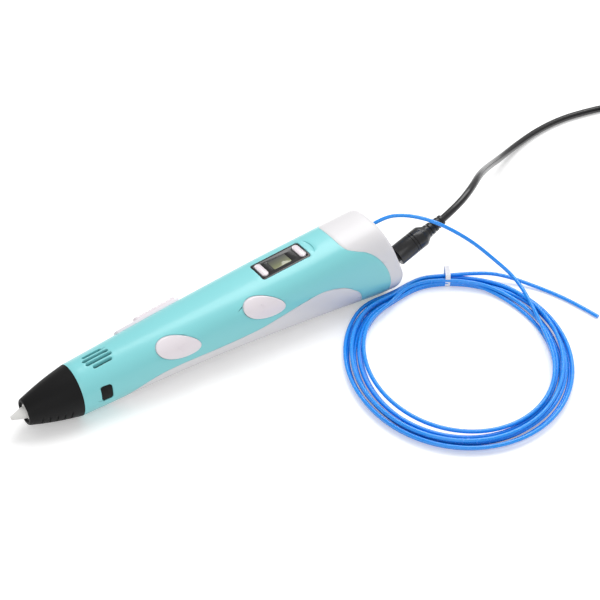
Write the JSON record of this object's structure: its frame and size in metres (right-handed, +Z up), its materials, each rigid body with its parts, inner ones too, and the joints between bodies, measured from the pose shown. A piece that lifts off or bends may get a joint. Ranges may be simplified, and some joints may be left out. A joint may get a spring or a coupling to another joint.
{
  "type": "three d pen",
  "caption": "Hand-held 3-D drawing pen with display, side buttons, heated nozzle and internal filament feeder, with its power lead and filament coil.",
  "frame": {"origin": "on the table under the middle of the pen's bounding box, cords left out", "axes": "+X from nozzle to tail, +Z up through the display, +Y to the side with the speed slider"},
  "size_m": [0.417, 0.1774, 0.0392],
  "materials": {
    "black_heatproof_plastic": "matt glass-filled plastic",
    "brass": "machined brass",
    "button_plastic": "semi-gloss moulded plastic",
    "cable_black": "soft black cable jacket",
    "ceramic": "fired white ceramic",
    "circuit_board": "solder mask over glass-epoxy",
    "component_black": "moulded component bodies",
    "component_metal": "plain cans and frames",
    "filament": "extruded plastic filament",
    "gear_plastic": "natural acetal",
    "gloss_black_plastic": "polished",
    "guide_tube": "translucent fluoropolymer",
    "lcd_glass": "clear display cover",
    "steel": "plain steel",
    "teal_plastic": "satin moulded plastic",
    "tie_white": "soft plastic twist tie",
    "white_plastic": "satin moulded plastic"
  },
  "bodies": {
    "pen_body": {"belly_shell": "white_plastic", "board_chips": "component_black", "capacitor": "component_metal", "case_screws": "steel", "ceramic_heater": "ceramic", "ceramic_nozzle": "ceramic", "dc_plug": "cable_black", "display_bezel": "gloss_black_plastic", "display_board": "circuit_board", "display_window": "lcd_glass", "fan_frame": "gear_plastic", "feed_switch": "component_black", "feed_switch_board": "circuit_board", "feeder_housing": "gear_plastic", "filament_coil": "filament", "filament_free_end": "filament", "filament_lead": "filament", "front_guide": "guide_tube", "heat_insulator": "ceramic", "inlet_ferrule": "brass", "lcd_module": "component_metal", "lead_tie": "tie_white", "lever_pivot": "steel", "lever_spring": "steel", "loaded_filament": "filament", "main_board": "circuit_board", "melt_tube": "steel", "motor_can": "steel", "motor_gearbox": "steel", "nose_cone": "black_heatproof_plastic", "plug_strain_relief": "cable_black", "power_jack": "component_black", "power_lead": "cable_black", "power_lead_coil": "cable_black", "rear_guide_tube": "guide_tube", "retract_switch": "component_black", "retract_switch_board": "circuit_board", "slide_potentiometer": "component_black", "speed_track": "button_plastic", "tail_cap": "white_plastic", "temp_down_switch": "component_black", "temp_up_switch": "component_black", "thermistor": "brass", "upper_shell": "teal_plastic", "usb_plug": "cable_black"},
    "feed_button": {"feed_button": "button_plastic"},
    "retract_button": {"retract_button": "button_plastic"},
    "temp_up_button": {"temp_up_button": "button_plastic"},
    "temp_down_button": {"temp_down_button": "button_plastic"},
    "speed_knob": {"speed_knob": "button_plastic"},
    "feed_shaft": {"feed_wheel": "brass", "feed_axle": "steel", "bevel_gear": "gear_plastic"},
    "motor_output": {"drive_pinion": "gear_plastic", "motor_shaft": "steel"},
    "idler_lever": {"idler_lever": "gear_plastic", "roller_pin": "steel"},
    "idler_roller": {"idler_roller": "steel"},
    "fan_rotor": {"fan_rotor": "gear_plastic"}
  },
  "joints": [
    {"name": "feed_button_press", "type": "slide", "parent": "pen_body", "child": "feed_button", "axis": [0.0873, 0.9005, -0.426], "range_m": [0, 0.0006], "stiffness_N_per_m": 500, "springref_m": -0.0004},
    {"name": "retract_button_press", "type": "slide", "parent": "pen_body", "child": "retract_button", "axis": [0.0603, 0.945, -0.3215], "range_m": [0, 0.0006], "stiffness_N_per_m": 500, "springref_m": -0.0004},
    {"name": "temp_up_button_press", "type": "slide", "parent": "pen_body", "child": "temp_up_button", "axis": [0.1186, 0, -0.9929], "range_m": [0, 0.0005], "stiffness_N_per_m": 500, "springref_m": -0.0004},
    {"name": "temp_down_button_press", "type": "slide", "parent": "pen_body", "child": "temp_down_button", "axis": [0.1186, 0, -0.9929], "range_m": [0, 0.0005], "stiffness_N_per_m": 500, "springref_m": -0.0004},
    {"name": "speed_knob_slide", "type": "slide", "parent": "pen_body", "child": "speed_knob", "axis": [0.9923, 0.0436, 0.1155], "range_m": [-0.008, 0]},
    {"name": "feed_spin", "type": "hinge", "parent": "pen_body", "child": "feed_shaft", "pos_m": [-0.01836, 0, 0.01823], "axis": [0, 1, 0], "continuous": true},
    {"name": "motor_spin", "type": "hinge", "parent": "pen_body", "child": "motor_output", "pos_m": [-0.01337, 0.0045, 0.01849], "axis": [0.9986, 0, 0.0523], "continuous": true},
    {"name": "idler_lever_tilt", "type": "hinge", "parent": "pen_body", "child": "idler_lever", "pos_m": [-0.00891, 0, 0.00986], "axis": [0, 1, 0], "range_deg": [-5, 0], "stiffness_Nm_per_rad": 0.05, "springref_deg": 5.73},
    {"name": "idler_roller_spin", "type": "hinge", "parent": "idler_lever", "child": "idler_roller", "pos_m": [-0.0179, 0, 0.00939], "axis": [0, 1, 0], "continuous": true},
    {"name": "fan_spin", "type": "hinge", "parent": "pen_body", "child": "fan_rotor", "pos_m": [-0.03941, 0, 0.0186], "axis": [-0.0523, 0, 0.9986], "continuous": true}
  ],
  "couplings": [
    {"joint": "motor_spin", "follows": "feed_spin", "ratio": 2},
    {"joint": "idler_roller_spin", "follows": "feed_spin", "ratio": -1.3333}
  ]
}
